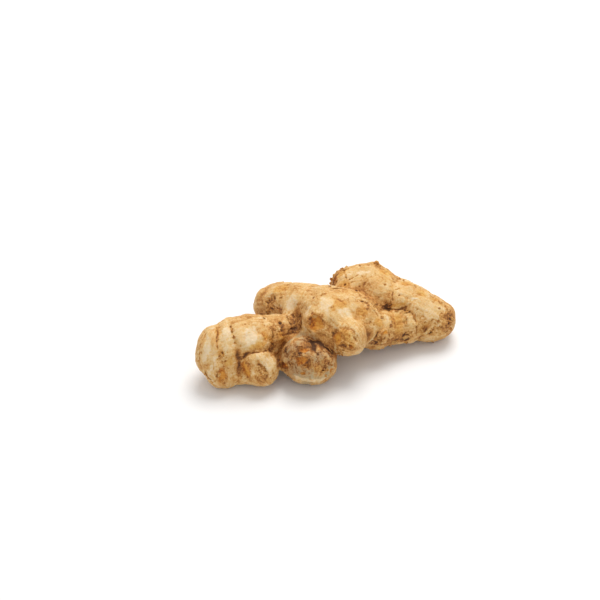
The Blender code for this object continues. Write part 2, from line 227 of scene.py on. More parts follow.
# Orange scars where pieces broke off.
AMBER = [
    (315.8, 323, 3.6, 3.1, 20), (338.2, 338, 2.6, 1.9, 80), (265.4, 337.6, 1.3, 0.6, -55),
    (222, 375.5, 3.3, 1.9, 86), (245.8, 369.5, 3.7, 2, 92), (303, 350, 2.1, 1.3, 5),
    (301.5, 360.5, 2.6, 1.7), (284.5, 365.5, 2, 1.2), (305.5, 365.5, 1, 0.7),
    (302, 373, 1.2, 0.7), (376, 264.5, 1.3, 0.8), (384.5, 332.8, 1.3, 0.8, 20),
    (351, 346.5, 1, 0.8), (331, 370.5, 1.2, 0.9),
]
# Brown, corky places. Those along and under the seam between the stub and the boss are painted shade in the
# gap there.
BROWNED_AND_SHADED = [
    (270.6, 303.5, 3.6, 2.2, 60), (296, 323.5, 4, 3, 70), (284, 330, 4, 2.2, -50),
    (446, 322, 4, 2.6, 75), (449, 332, 1.8, 1.6), (377, 341, 4, 1.9, 15),
    (404, 338.5, 3.6, 1.9, 20), (367, 338, 4, 1.6, 80), (334, 281, 3.4, 1.2, 65),
    (263.4, 373.5, 2.8, 1.4, -70), (259, 378, 2.4, 0.9), (388.5, 305.5, 2.4, 1.1, 10),
    (331, 334, 2.4, 1.2, -60), (315, 342.5, 3.4, 1, -10), (325, 347, 3.4, 1, -40),
    (216.8, 375, 2, 0.5, 85), (311.4, 322.5, 2.5, 1.5, 80), (245, 356, 1.8, 0.9, 40),
    (328, 352, 4.6, 1.8, -50), (325.5, 364, 2.4, 1.6, 70), (285.5, 351, 2.6, 1.6, 80),
    (303, 340, 2, 1.2), (314.5, 343.5, 2.2, 1.6, -80), (335, 361, 3, 1.2, 80),
    (331, 307, 1.3, 0.8, 40), (291, 329, 2.6, 1.8, 50), (340.5, 299.5, 1.2, 0.7),
    (347, 348, 3.4, 1, -15), (427, 326, 3.6, 1.4, 60), (283, 366, 3, 1.6),
    (255, 315, 2.6, 1.4, 60), (371, 300, 3.4, 1, -20),
]
# Places crusted with crumbs.
CRUSTED = [
    (296, 323, 4.6, 3.2, 70), (270.6, 303, 4, 3, 60), (304, 361, 8, 6.5),
    (324, 360, 7, 5, -60), (286, 358, 5, 3, 80), (404, 338, 3.4, 1.8, 20),
    (378, 341, 3.6, 2, 15), (437, 326, 5.5, 2.4, 50), (448, 320, 5, 2.4, 75),
    (347, 339, 4.6, 4), (316, 323, 3, 2.4), (257, 373, 3.4, 2),
    (369.5, 303.5, 3.4, 1.2, -20), (387, 305, 3.4, 1.6), (222, 357, 3, 2.2, 60),
    (333, 331, 2.4, 1.4, -60), (336, 279, 3.4, 1.6, 65), (277, 330, 3.4, 2, -30),
    (330.5, 307, 1.4, 0.9, 40),
]
# Broad places where the tone is darker: partly duller skin, partly painted shade under the lobes, in the
# valleys between them and at the left end of the main finger.
DULL_AND_SHADED = [
    (303, 357, 10.5, 8), (277, 334, 6, 4.6, 60), (326, 339, 4.5, 1.2, -35),
    (388, 342.5, 10, 1.8, 5), (449, 322, 4.8, 3.4, 80), (260, 301, 6.5, 3, 70),
    (366, 337, 3.5, 3.4), (334, 280, 5, 2.2, 65), (301, 331, 2.4, 1.6, 60),
    (238, 322, 3, 0.9, 12), (256, 381.5, 4.6, 1.6), (236.6, 368, 5.5, 1.2, 90),
    (271, 346, 4, 2.6, 60), (432, 333, 3.4, 1.6, 40), (346, 351, 5, 1.4, -10),
]
# Dark flecks.
FLECKS = [
    (230.6, 327, 1.1, 0.45, -60), (217, 341, 0.6, 0.4), (216.5, 346, 0.7, 0.3, 90),
    (220, 356.3, 0.6, 0.4), (222.5, 352.6, 0.4, 0.35), (234.7, 343, 0.6, 0.4, -60),
    (233, 338, 0.5, 0.28, -60), (222.5, 342, 0.4, 0.3), (201.5, 353, 0.9, 0.3, 90),
    (216.2, 367, 0.8, 0.28, 90), (213.5, 366, 1, 0.25, 90), (219.5, 370, 1, 0.28, 90),
    (217, 376, 1.2, 0.4, 85), (220, 381, 1.1, 0.45, -35), (225.8, 361, 0.5, 0.35),
    (228, 368, 0.4, 0.35), (245.2, 324.6, 0.55, 0.45), (250.5, 318.9, 1.3, 0.25),
    (270, 328.3, 0.6, 0.4), (273.5, 329.6, 0.9, 0.35, -20), (281.3, 327.6, 0.7, 0.4, 10),
    (281.5, 331, 0.5, 0.4), (278.2, 359.3, 0.8, 0.6, 90), (270, 377.6, 0.45, 0.4),
    (248, 366, 0.8, 0.35, -60), (241.5, 377.5, 0.9, 0.5, 60), (248.8, 377, 0.7, 0.4, 10),
    (300, 353.5, 1, 0.35, -10), (305.5, 365.2, 0.8, 0.45), (290, 363.6, 0.9, 0.45, -30),
    (286, 349.5, 1.4, 0.6, 70), (283.8, 353, 0.7, 0.5), (310.2, 377.5, 1.2, 0.3, 85),
    (322.5, 371.5, 1.1, 0.5, 30), (325.5, 369, 0.9, 0.4, -50), (320, 375, 0.8, 0.35, 30),
    (326, 375.5, 0.6, 0.4), (297.3, 373, 0.9, 0.35, -60), (304, 374, 0.7, 0.3, 20),
    (316.5, 359.5, 1.1, 0.3, 80), (318.5, 353.5, 0.9, 0.35, 70), (324, 351, 1.2, 0.45, -60),
    (331, 357, 1.2, 0.4, -70), (312.5, 371, 1.2, 0.4, 70), (293, 356.5, 0.7, 0.35),
    (296.5, 347, 0.8, 0.35, 50), (272.5, 295.4, 1.2, 0.5, 20), (270.3, 300, 1.6, 0.7, 60),
    (267.7, 302.8, 1.2, 0.6, 10), (267.9, 306.3, 1.2, 0.5, -60), (268.8, 311.4, 1.1, 0.4),
    (277.5, 308, 0.6, 0.45, 90), (286.2, 285, 1, 0.4, 10), (283.6, 315.9, 1.7, 0.45, -5),
    (277.8, 315.1, 0.8, 0.35), (297.4, 304.5, 0.6, 0.45), (302.3, 307.4, 1.2, 0.45, 10),
    (292.3, 314.8, 1.2, 0.6, 20), (289, 322.5, 1.8, 0.6, -50), (291.5, 327, 1.4, 0.6, 60),
    (302, 322, 1.4, 0.45, 80), (288.5, 331.5, 1.4, 0.5, 55), (311.4, 286.6, 0.9, 0.35, 5),
    (323.5, 294.3, 1.5, 0.5, 25), (307.9, 291, 0.9, 0.3, 80), (311.8, 313.3, 0.9, 0.5, 60),
    (306.5, 308, 0.9, 0.4, 50), (342.3, 324.4, 0.7, 0.35, 30), (333.4, 337.7, 0.7, 0.6, 90),
    (351, 345.6, 1, 0.55, -30), (350, 350, 1.2, 0.4, -15), (343, 350.5, 0.9, 0.35, 20),
    (328, 329.5, 0.9, 0.4, -50), (315, 342, 2.4, 0.55, -10), (324, 346, 2.6, 0.6, -40),
    (330.5, 351.5, 1.6, 0.5, -50), (309.5, 331, 1.2, 0.5, -50), (363, 302, 1.2, 0.4, -20),
    (360.4, 295.2, 1, 0.45, -20), (373, 309, 1, 0.4, -10), (370.5, 306.5, 0.6, 0.4),
    (376.8, 314.3, 1.3, 0.4, -65), (370.4, 322.6, 0.4, 0.4), (373.7, 324.6, 0.5, 0.4),
    (400.5, 313.2, 0.45, 0.35), (405.5, 316.8, 0.5, 0.35), (391.8, 320.7, 0.6, 0.3, -70),
    (397.5, 338.5, 1.1, 0.35, 60), (404, 334.5, 1.5, 0.35, 45), (406.5, 340, 1.8, 0.35, 30),
    (411.5, 332.5, 1.1, 0.35, 70), (400.5, 342, 1, 0.35, 20), (374.5, 341, 1.4, 0.6, -40),
    (381, 340, 1.2, 0.5, -20), (370.5, 342, 1.2, 0.5, 60), (366.5, 335, 1.3, 0.4, 75),
    (424.6, 317, 1.1, 0.35, -25), (432.7, 319.4, 1, 0.35, 10), (437.5, 320.8, 1.1, 0.45, -25),
    (435, 323.7, 1, 0.4, -30), (434.6, 327, 0.8, 0.4, 10), (432.8, 329.8, 0.7, 0.4, 60),
    (430.6, 333.2, 1.1, 0.65, 30), (425.6, 323, 1, 0.5, -60), (426.5, 329.5, 1.2, 0.45, 50),
    (421.5, 336, 1.2, 0.4, 45), (440.2, 302.4, 1.2, 0.45, -50), (445.4, 307, 0.9, 0.4, -20),
    (441.5, 313.5, 0.7, 0.4, 20), (448.4, 313.8, 0.7, 0.4), (446.8, 331, 1, 0.5, 30),
    (449, 323, 0.7, 0.35, 70), (430.6, 295.8, 0.9, 0.35, -10), (433, 302.2, 0.9, 0.35, 20),
    (349.4, 279.4, 0.6, 0.4, 30), (352.8, 281.8, 1.1, 0.28, 10), (359.2, 286.5, 0.5, 0.35, 90),
    (349.7, 288.4, 0.6, 0.3), (398.8, 288.6, 0.8, 0.5, 10), (395.5, 289.6, 1.2, 0.25, 5),
    (392.6, 292.7, 1.2, 0.25, 90), (388.5, 305.3, 1.7, 0.8, 20), (386, 303, 0.7, 0.35, 60),
    (391, 300.5, 1, 0.3, 75), (379.2, 296.8, 0.6, 0.4), (409.6, 304.8, 0.6, 0.4, 10),
    (416.6, 308.4, 0.8, 0.3, -50), (415.5, 299.8, 1.1, 0.3, 5), (334, 285.5, 1.6, 0.6, 75),
    (335.5, 278.5, 1.6, 0.5, 65),
]
# Pits left by roots: across, down and radius.
PITS = [
    (280, 323, 0.85), (313.4, 297.6, 0.55), (344.9, 284.8, 0.5),
    (384.8, 284.9, 0.45), (399.2, 295.3, 0.4), (230.3, 326.2, 0.4),
    (430.6, 333, 0.45), (322.6, 371, 0.45),
]
# Small buds that stand out of the skin: across, down, radius and height.
BUDS = [
    (384, 334.5, 2.3, 0.8),
    (377, 264.6, 1.6, 1.3),
    (262, 336.5, 1.6, 0.4),
]
# Cracks and the edges of old scales: their points in the picture, then half width and depth.
CRACKS = [
    ([(217.6, 328), (217.8, 334), (217, 341), (217.2, 348)], 0.32, 0.25),
    ([(230.4, 326.5), (232.3, 333), (234.7, 343)], 0.22, 0.2),
    ([(248.3, 324.3), (252, 325.4), (256, 325.2)], 0.2, 0.15),
    ([(243.8, 357.3), (246.5, 354.8), (252, 353), (258, 352.4), (264, 352), (266.3, 350.8)], 0.3, 0.3),
    ([(262.3, 334.5), (264.5, 338.5), (270, 342), (275, 345.5), (279, 349)], 0.3, 0.25),
    ([(309, 319.5), (311.5, 317.8), (316, 317), (320.5, 318), (322.8, 320.5)], 0.4, 0.4),
    ([(349.5, 279.6), (354, 277), (358.7, 274)], 0.2, 0.25),
    ([(356.5, 290.8), (358.5, 293.8), (361.2, 295.6)], 0.35, 0.4),
    ([(359.5, 301), (363, 302.2), (366.5, 303)], 0.35, 0.3),
    ([(380, 307.3), (384.5, 308.3), (390, 309.4), (397, 309.9), (403, 308.6), (406, 307)], 0.45, 0.4),
    ([(404.6, 309.8), (411, 312.8), (414.8, 318), (416.5, 325), (416.6, 330), (416.2, 335)], 0.33, 0.3),
    ([(392.6, 300), (392, 295.5), (393, 291), (397, 288.8)], 0.28, 0.35),
    ([(388.8, 312.5), (391, 317), (391.7, 322), (392.4, 327)], 0.2, 0.2),
    ([(378.8, 330.5), (376, 336), (373.5, 340), (371.5, 344)], 0.35, 0.35),
    ([(372.5, 343), (376, 345), (383, 344.2), (388.3, 340.3), (389.6, 335)], 0.3, 0.3),
    ([(337.5, 332.5), (340.5, 329.8), (345.5, 328.4), (350, 330), (353, 333.8), (354, 338.5)], 0.28, 0.25),
    ([(276, 315.2), (281, 315.7), (287, 316.6)], 0.3, 0.3),
    ([(210, 380.5), (212.5, 381.8), (214.5, 381.5), (217, 379.8)], 0.22, 0.2),
]
# Folds between the lobes: their points in the picture, then half width and depth. Along them the tone is
# also darkened as painted shade.
CREASES = [
    ([(237.5, 353), (238.6, 360), (239.6, 368), (239.2, 376), (238, 382)], 1.1, 0.45),
    ([(243.8, 357.3), (247, 354.6), (256, 352.6), (266, 351)], 0.7, 0.15),
    ([(284, 343), (280, 350), (278.6, 358), (278.8, 366)], 0.9, 0.35),
    ([(303, 335.5), (309, 338.5), (314, 341.2), (320.5, 342.6), (327.6, 347.3), (333, 353)], 0.9, 0.5),
    ([(311.5, 340), (313, 344), (313.8, 348.5)], 0.9, 0.7),
    ([(382, 307.8), (390, 309.4), (397, 309.9), (405, 307.6)], 0.5, 0.25),
    ([(260, 314), (268, 313.4), (280, 315.2), (288, 316.4)], 0.5, 0.2),
    ([(259.5, 364.5), (263.5, 367.5), (266.5, 372), (266.5, 377.5)], 0.8, 0.5),
    (
        [(333, 335), (336.5, 330.5), (341, 328), (346, 327.3), (351, 329.3), (354.5, 334), (355.6, 340)],
        0.8,
        0.5,
    ),
]
# Dry scales seen from the front: across, down, length and width in millimetres, the way they point
# in the picture in degrees from the right, and how far their tips are bent up from the skin.
SCALES = [
    (330.3, 286.5, 1, 1.4, 190, 50), (330.9, 283, 0.9, 1.2, 170, 55), (332, 279.6, 1.1, 1.4, 150, 50),
    (334.2, 275.8, 0.9, 1.2, 140, 55), (337.4, 272.6, 1, 1.3, 130, 50), (342, 269.6, 0.9, 1.6, 100, 50),
    (346, 267.2, 0.8, 1.8, 60, 50), (376.4, 264, 0.9, 2, 100, 35), (379, 266, 0.9, 1.4, 20, 60),
    (373, 264.4, 0.8, 1.6, 150, 40), (399.5, 279.4, 0.7, 1, 80, 70), (403.5, 280.8, 0.7, 1, 60, 70),
    (385, 272, 0.7, 1.2, 30, 50), (206.4, 374, 1.2, 1.4, 205, 30), (208.8, 378.2, 0.9, 1.2, 225, 30),
    (198.8, 361, 0.6, 0.9, 200, 45), (200.2, 366, 0.6, 0.8, 190, 45), (218, 330, 0.8, 2.2, 180, 22),
    (218, 338, 0.8, 2, 180, 22), (217.6, 346, 0.9, 1.8, 180, 30), (231.4, 330, 0.8, 1.8, 10, 25),
    (233.4, 337.5, 0.8, 1.8, 10, 25), (235, 343, 0.9, 1.2, 0, 35), (250, 317.6, 0.9, 2.2, 90, 30),
    (219.6, 375, 1.1, 2.4, 170, 40), (222, 380.2, 1.3, 1.4, 280, 45), (247.6, 363.6, 1, 2, 70, 30),
    (262.8, 368.6, 1.4, 2.4, 30, 40), (265.8, 374, 1.3, 2, 10, 45), (260.6, 374.6, 0.9, 2, 270, 45),
    (266.8, 304.6, 1.2, 1.6, 160, 50), (270.8, 299.6, 1.3, 1.4, 120, 50), (268.4, 309.8, 1.2, 1.2, 200, 45),
    (273.6, 296.8, 1.2, 1, 60, 40), (281.4, 362, 1.1, 1, 190, 60), (283, 369, 1.2, 0.9, 210, 60),
    (300.6, 347.6, 0.9, 2.6, 95, 35), (301.2, 356.8, 1, 3, 90, 35), (305.4, 366.4, 1, 1.4, 270, 50),
    (305.6, 355.2, 0.8, 1.2, 280, 50), (290.4, 363.4, 1, 1.6, 60, 45), (322.6, 371, 1.2, 1.6, 300, 50),
    (326.4, 369.2, 1.2, 1.2, 330, 55), (325.6, 375, 1.1, 1.2, 300, 55), (330.8, 365, 1, 1, 0, 60),
    (315.4, 317.4, 1.1, 3.4, 75, 35), (310, 322, 1, 2.2, 180, 35), (323, 294.6, 0.9, 2.8, 100, 28),
    (345.6, 328.6, 0.9, 2.6, 90, 40), (352.2, 334, 0.9, 2, 20, 40), (337, 330.8, 0.9, 1.6, 140, 40),
    (337.6, 350.8, 2.6, 1.2, 262, 12), (340.6, 351, 2.2, 1, 280, 15), (334.8, 353.4, 2.2, 1.2, 290, 20),
    (361, 295.6, 1.1, 1.8, 250, 40), (363, 302.6, 1, 2, 270, 35), (373.6, 308.8, 1, 1.4, 260, 45),
    (381, 309, 1, 2.2, 262, 35), (388, 310.2, 1.1, 2, 268, 40), (396.4, 310.8, 0.9, 2.2, 270, 35),
    (406.4, 311.2, 1, 2, 320, 35), (413.8, 316, 0.9, 2.2, 350, 30), (416.2, 323.5, 0.9, 2.4, 0, 30),
    (416.2, 331, 0.9, 2.2, 5, 30), (375.8, 338, 1, 2.2, 200, 40), (380, 341.8, 1, 1.8, 260, 45),
    (387.6, 339.8, 1, 1.8, 320, 45), (399, 340.4, 1.1, 1.8, 260, 40), (405, 337, 1, 2.2, 300, 40),
    (409.8, 334.4, 1, 1.8, 340, 40), (425.6, 322.8, 0.8, 1.2, 200, 40), (437.4, 320.6, 0.9, 1.4, 300, 45),
    (435, 326.4, 0.9, 1.2, 240, 50), (431.4, 333, 1.1, 1.2, 250, 50), (440.4, 303.6, 1.1, 1.4, 30, 45),
    (445.6, 308.6, 1.1, 1.4, 20, 50), (452, 319.4, 0.8, 1.4, 0, 40), (449.6, 328, 1.1, 1.4, 330, 60),
    (385.6, 303.4, 1, 1.2, 60, 45), (390.4, 303.8, 1, 1.2, 90, 45),
]
# Dry fibres that lie over the skin: their points in the picture.
FIBRES = [
    [(205, 370.5), (206.4, 374.2), (209.2, 378), (212.6, 380.8)],
    [(336, 352.6), (338.5, 353.4), (341.5, 352.4)],
    [(288.5, 315.5), (292, 321), (291, 327.5)],
    [(293, 312.5), (296, 318), (296.5, 325)],
    [(301, 311.5), (298.5, 318), (300, 325)],
    [(287, 331), (292, 326), (298, 322.5)],
    [(284, 334.5), (290, 331.5), (295.5, 331)],
    [(296, 333), (300.5, 327), (302, 320)],
    [(290, 313.5), (295, 315), (301, 314)],
    [(331, 288), (336.5, 288.6), (342, 288.2)],
    [(304, 336), (310, 339), (317, 341)],
    [(323, 344), (329, 348.5), (332.5, 353)],
    [(336, 353.6), (340, 352.8), (345, 352.6)],
    [(279, 345), (279, 352), (278.6, 360)],
]
# Scars on the hidden sides: x, y, z near the skin, half length and half width, in millimetres.
HIDDEN_SCARS = [
    (-31, 20, 10, 1.7, 1.2), (57, 9, 9, 2.2, 1.5), (3.1, 20.2, 24, 1.6, 1.2),
    (38.6, 20.2, 12.5, 1.4, 1.1), (-41, -2, 13, 1.7, 1.3), (20, 32, 16, 2, 1.2),
    (6.6, 12.2, 14, 1.8, 1.4), (-20, 27, 8, 1.5, 1), (-36, -8, 4, 1.6, 1.2),
    (-2, -2, 6, 1.8, 1.4), (26, 4, 4, 1.5, 1.1),
]


def make_camera():
    """The camera, at the photograph's viewing angle."""
    data = bpy.data.cameras.new("camera")
    data.lens = LENS
    data.sensor_width = SENSOR
    camera = bpy.data.objects.new("camera", data)
    camera.location = AIM + DISTANCE * Vector((0, -math.cos(ELEVATION), math.sin(ELEVATION)))
    camera.rotation_euler = (math.pi / 2 - ELEVATION, 0, 0)
    bpy.context.scene.collection.objects.link(camera)
    bpy.context.scene.camera = camera
    bpy.context.view_layer.update()
    return camera


def mesh_rows(items, name, width, kind=float):
    """One value of each point or edge of a mesh, as rows."""
    values = np.empty(len(items) * width, kind)
    items.foreach_get(name, values)
    return values.reshape(-1, width)


def mesh_points(mesh):
    """Places of a mesh's points."""
    return mesh_rows(mesh.vertices, "co", 3)


def mesh_normals(mesh):
    """Outward directions at a mesh's points."""
    return mesh_rows(mesh.vertex_normals, "vector", 3)


def mesh_edges(mesh):
    """Pairs of points that an edge joins."""
    return mesh_rows(mesh.edges, "vertices", 2, int)


def averaged(values, edges, rounds):
    """Rows of values smoothed over the mesh: each moves halfway to its neighbours' mean, by rounds."""
    count = np.bincount(edges.ravel(), minlength=len(values))
    for _ in range(rounds):
        total = np.zeros_like(values)
        for i in range(values.shape[1]):
            total[:, i] = np.bincount(edges[:, 0], values[edges[:, 1], i], len(values))
            total[:, i] += np.bincount(edges[:, 1], values[edges[:, 0], i], len(values))
        values = (values + total / count[:, None]) / 2
    return values


def set_points(mesh, points):
    """Moves a mesh's points."""
    mesh.vertices.foreach_set("co", points.ravel())
    mesh.update()


def inside_box(points):
    """The points, with those beyond the solid's box brought back to its sides."""
    low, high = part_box("rhizome")
    return np.clip(points, np.array(low), np.array(high))


def remeshed(skin):
    """The object's mesh, rebuilt with cells of one size."""
    remesh = skin.modifiers.new("remesh", "REMESH")
    remesh.mode = "VOXEL"
    remesh.voxel_size = VOXEL
    made = bpy.data.meshes.new_from_object(skin.evaluated_get(bpy.context.evaluated_depsgraph_get()))
    skin.modifiers.clear()
    return made


def fine_skin(node):
    """A fine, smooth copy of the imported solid's surface."""
    coarse = node.data.copy()
    skin = bpy.data.objects.new("ginger_skin", coarse)
    bpy.context.scene.collection.objects.link(skin)
    made = bmesh.new()
    made.from_mesh(coarse)
    bmesh.ops.remove_doubles(made, verts=made.verts, dist=MERGE_DISTANCE)
    made.to_mesh(coarse)
    made.free()
    skin.data = remeshed(skin)
    bpy.data.meshes.remove(coarse)
    set_points(skin.data, averaged(mesh_points(skin.data), mesh_edges(skin.data), SMOOTHING_ROUNDS))
    skin.data.shade_smooth()
    return skin


def rough(points, size, seed, octaves=1):
    """Irregular values from about -1 to 1: size of the features in millimetres, seed and octaves."""
    total = np.zeros(len(points))
    reach = 0.0
    for octave in range(octaves):
        share = 0.5**octave
        shift = SEED_SHIFT * (seed + 1) + OCTAVE_SHIFT * octave
        places = points / (size * MM) * 2.0**octave + (shift, -shift, 0.5 * shift)
        total += share * np.array([noise.noise(place) for place in places.tolist()])
        reach += share
    return total / reach * NOISE_GAIN


def warped(points, size, reach, seed):
    """Points moved about irregularly, so that what is drawn on them gets ragged edges."""
    moves = [rough(points, size, seed + i, 2) for i in range(3)]
    return points + np.stack(moves, axis=1) * reach * MM


def waves(points, wavelength, seed, count=14):
    """Smooth values from about -1 to 1, from waves in seeded directions, as the solid has them."""
    draws = np.random.RandomState(seed)
    directions = draws.normal(size=(count, 3))
    directions /= np.linalg.norm(directions, axis=1)[:, None]
    lengths = wavelength * MM * draws.uniform(0.7, 1.5, count)
    phases = draws.uniform(0, 2 * math.pi, count)
    sums = np.sin(points @ (directions / lengths[:, None]).T * 2 * math.pi + phases)
    return sums.sum(1) / math.sqrt(count)


def rise(values, start, end):
    """Smooth step from 0 at start to 1 at end."""
    share = np.clip((values - start) / (end - start), 0, 1)
    return share * share * (3 - 2 * share)


def smooth_axis(stations, steps=4):
    """Points and radii along a smooth curve through an axis's stations, in metres."""
    knots = np.array(stations, float) * MM
    knots[:, :3] += AXES_ORIGIN
    padded = np.vstack([2 * knots[0] - knots[1], knots, 2 * knots[-1] - knots[-2]])
    samples = []
    for i in range(len(knots) - 1):
        p0, p1, p2, p3 = padded[i : i + 4]
        for t in np.arange(steps) / steps:
            linear = (p2 - p0) * t
            square = (2 * p0 - 5 * p1 + 4 * p2 - p3) * t**2
            cube = (3 * p1 - p0 - 3 * p2 + p3) * t**3
            samples.append((2 * p1 + linear + square + cube) / 2)
    samples.append(knots[-1])
    return np.array(samples)


def along_axis(points, axis):
    """For each point: distance beyond the axis's rods, place along it, and direction round it."""
    nearest = np.full(len(points), np.inf)
    along = np.zeros(len(points))
    turned = np.zeros((len(points), 2))
    travelled = 0.0
    last = len(axis) - 2
    for i in range(len(axis) - 1):
        start, end = axis[i], axis[i + 1]
        span = end[:3] - start[:3]
        length = np.linalg.norm(span)
        forward = span / length
        free = (points - start[:3]) @ forward / length
        share = np.clip(free, 0, 1)
        away = points - start[:3] - share[:, None] * span
        gap = np.linalg.norm(away, axis=1) - start[3] - share * (end[3] - start[3])
        closer = gap < nearest
        nearest[closer] = gap[closer]
        reached = free if i in (0, last) else share
        along[closer] = (travelled + reached * length)[closer]
        up = np.array((0, 0, 1.0)) - forward[2] * forward
        up /= np.linalg.norm(up)
        side = np.cross(forward, up)
        round_axis = np.stack([away @ up, away @ side], axis=1)
        round_axis /= np.maximum(np.linalg.norm(round_axis, axis=1), 0.5 * MM)[:, None]
        turned[closer] = round_axis[closer]
        travelled += length
    return nearest, along, turned


class Fingers:
    """Where each skin point lies along and round the fingers that it belongs to."""

    def __init__(self, points):
        self.axes = {name: smooth_axis(stations) for name, stations in AXES.items()}
        self.places = {name: along_axis(points, axis) for name, axis in self.axes.items()}
        gaps = np.array([self.places[name][0] for name in AXES])
        weights = np.exp(-(gaps - gaps.min(0)) / GRAIN_OVERLAP)
        self.weights = dict(zip(AXES, weights / weights.sum(0)))

    def grain(self, size, seed):
        """Irregular values drawn out along the fingers, with lines this wide in millimetres."""
        total = np.zeros(len(self.weights["main"]))
        for number, name in enumerate(AXES):
            _, along, turned = self.places[name]
            radius = AXES[name][-1][3] * MM
            stretched = np.column_stack([turned * radius, along * GRAIN_STRETCH])
            total += self.weights[name] * rough(stretched, size, seed + 31 * number, 2)
        return total


def ring_offsets(points, fingers):
    """For each ring: its strength at every point, how far the point lies along, and which way."""
    wavelength, reach, seed = RING_WANDER
    wander = reach * MM * waves(points, wavelength, seed)
    rings = []
    for name, place, strength in RINGS:
        axis = fingers.axes[name]
        spans = np.diff(axis[:, :3], axis=0)
        lengths = np.linalg.norm(spans, axis=1)
        travelled = np.concatenate([[0], np.cumsum(lengths)])
        i = min(max(np.searchsorted(travelled, place * MM) - 1, 0), len(spans) - 1)
        forward = spans[i] / lengths[i]
        centre = axis[i, :3] + forward * (place * MM - travelled[i])
        offset = (points - centre) @ forward + wander
        owned = rise(fingers.weights[name], 0.35, 0.7)
        rings.append((strength * owned, offset / MM, forward))
    return rings


class Placer:
    """Finds the skin under points of the picture, and measures how near skin points are to it."""

    def __init__(self, skin, camera):
        self.tree = BVHTree.FromObject(skin, bpy.context.evaluated_depsgraph_get())
        self.eye = camera.matrix_world.translation
        self.turn = camera.matrix_world.to_3x3()
        self.right, self.up, self.back = (np.array(self.turn.col[i]) for i in range(3))

    def seen_at(self, across, down):
        """Place and outward direction of the skin at a point of the picture."""
        half = PICTURE / 2
        spread = SENSOR / LENS / PICTURE
        ray = self.turn @ Vector(((across - half) * spread, (half - down) * spread, -1.0))
        place, normal, _, _ = self.tree.ray_cast(self.eye, ray.normalized())
        if place is None:
            raise ValueError(f"no skin at picture point {across}, {down}")
        return np.array(place), np.array(normal)

    def heading(self, angle):
        """Direction turned by this angle in the picture, in degrees from the right."""
        lean = math.radians(angle)
        return math.cos(lean) * self.right + math.sin(lean) * self.up

    def gaps(self, points, across, down):
        """Distance of each point to the skin at a point of the picture, in millimetres."""
        place, _ = self.seen_at(across, down)
        return np.linalg.norm(points - place, axis=1) / MM

    def closeness(self, points, place, normal, long, wide, angle=0):
        """1 at the middle of a mark, 0.5 at its edge and 0 at twice its size."""
        lengthwise = self.heading(angle)
        lengthwise -= (lengthwise @ normal) * normal
        lengthwise /= np.linalg.norm(lengthwise)
        crosswise = np.cross(normal, lengthwise)
        offsets = (points - place) / MM
        deep = offsets @ normal / max(long, wide)
        reach = np.sqrt((offsets @ lengthwise / long) ** 2 + (offsets @ crosswise / wide) ** 2 + deep**2)
        return np.clip(1 - reach / 2, 0, 1)

    def patches(self, points, marks):
        """How near each point is to the nearest of the marks seen in the picture."""
        nearest = np.zeros(len(points))
        for across, down, *size in marks:
            place, normal = self.seen_at(across, down)
            nearest = np.maximum(nearest, self.closeness(points, place, normal, *size))
        return nearest

    def hidden_patches(self, points, scars):
        """How near each point is to the nearest of the scars on the hidden sides."""
        nearest = np.zeros(len(points))
        for x, y, z, long, wide in scars:
            place, normal, _, _ = self.tree.find_nearest(Vector(np.array((x, y, z)) * MM + AXES_ORIGIN))
            place, normal = np.array(place), np.array(normal)
            nearest = np.maximum(nearest, self.closeness(points, place, normal, long, wide, 45))
        return nearest

    def lines(self, points, routes, jitter):
        """Strength and depth of lines through points of the picture."""
        strength, cut = np.zeros((2, len(points)))
        for route, width, depth in routes:
            placed = [self.seen_at(across, down)[0] for across, down in route]
            gap = np.maximum(polyline_distance(points, placed) + jitter, 0)
            shape = np.exp(-((gap / width) ** 2))
            strength = np.maximum(strength, shape)
            cut = np.maximum(cut, depth * shape)
        return strength, cut


def polyline_distance(points, route):
    """Distance of each point to a line through the route's points, in millimetres."""
    nearest = np.full(len(points), np.inf)
    for start, end in zip(route[:-1], route[1:]):
        span = end - start
        share = np.clip((points - start) @ span / (span @ span), 0, 1)
        nearest = np.minimum(nearest, np.linalg.norm(points - start - share[:, None] * span, axis=1))
    return nearest / MM


def skin_marks(points, normals, placer):
    """Every mark on the skin, as values over its points. Most of them go from 0 to 1."""
    m = SimpleNamespace(points=points, fingers=Fingers(points))
    m.hidden = 1 - rise(normals @ placer.back, -0.15, 0.25)
    m.stub = rise(m.fingers.weights["stub"], 0.3, 0.9)
    m.coarse = rough(points, 11, 1, 3)
    m.middle = rough(points, 4, 2, 3)
    m.small = rough(points, 1.3, 3, 2)
    m.tiny = rough(points, 0.85, 21)
    m.ragged = 0.10 * rough(points, 2.2, 4, 3) + 0.08 * m.small
    m.loose = warped(points, 4, 1.1, 50)
    m.close = warped(points, 1.3, 0.28, 60)
    add_patches(m, placer)
    add_scars(m, placer)
    add_rings(m)
    add_small_marks(m, placer)
    add_crumbs(m)
    add_grain(m)
    return m


def add_patches(m, placer):
    """Broad places, from the tables of marks and, most of all on the hidden sides, by chance."""

    def field(marks, start=0.34, end=0.66):
        return rise(placer.patches(m.loose, marks) + m.ragged, start, end)

    def by_chance(size, seed, start, end):
        share = 0.25 + 0.75 * m.hidden
        return share * rise(rough(m.loose, size, seed, 3) + m.ragged, start, end)

    m.peeled = np.maximum(field(PEELED, 0.44, 0.56), by_chance(7, 5, 0.30, 0.48))
    m.ochre = np.maximum(field(OCHRE), by_chance(8, 6, 0.2, 0.6))
    m.browned = np.maximum(field(BROWNED_AND_SHADED, 0.30, 0.66), by_chance(9, 7, 0.35, 0.75))
    m.crusted = np.maximum(field(CRUSTED), by_chance(9, 8, 0.40, 0.65))
    # Darker, duller skin by chance, and painted shade where the table places it.
    m.dull = np.maximum(field(DULL_AND_SHADED, 0.20, 0.70), by_chance(12, 27, 0.2, 0.8))
    m.pale = field(PALE, 0.20, 0.70) * (1 - 0.4 * m.ochre)
    m.smooth = field(SMOOTH, 0.30, 0.70)


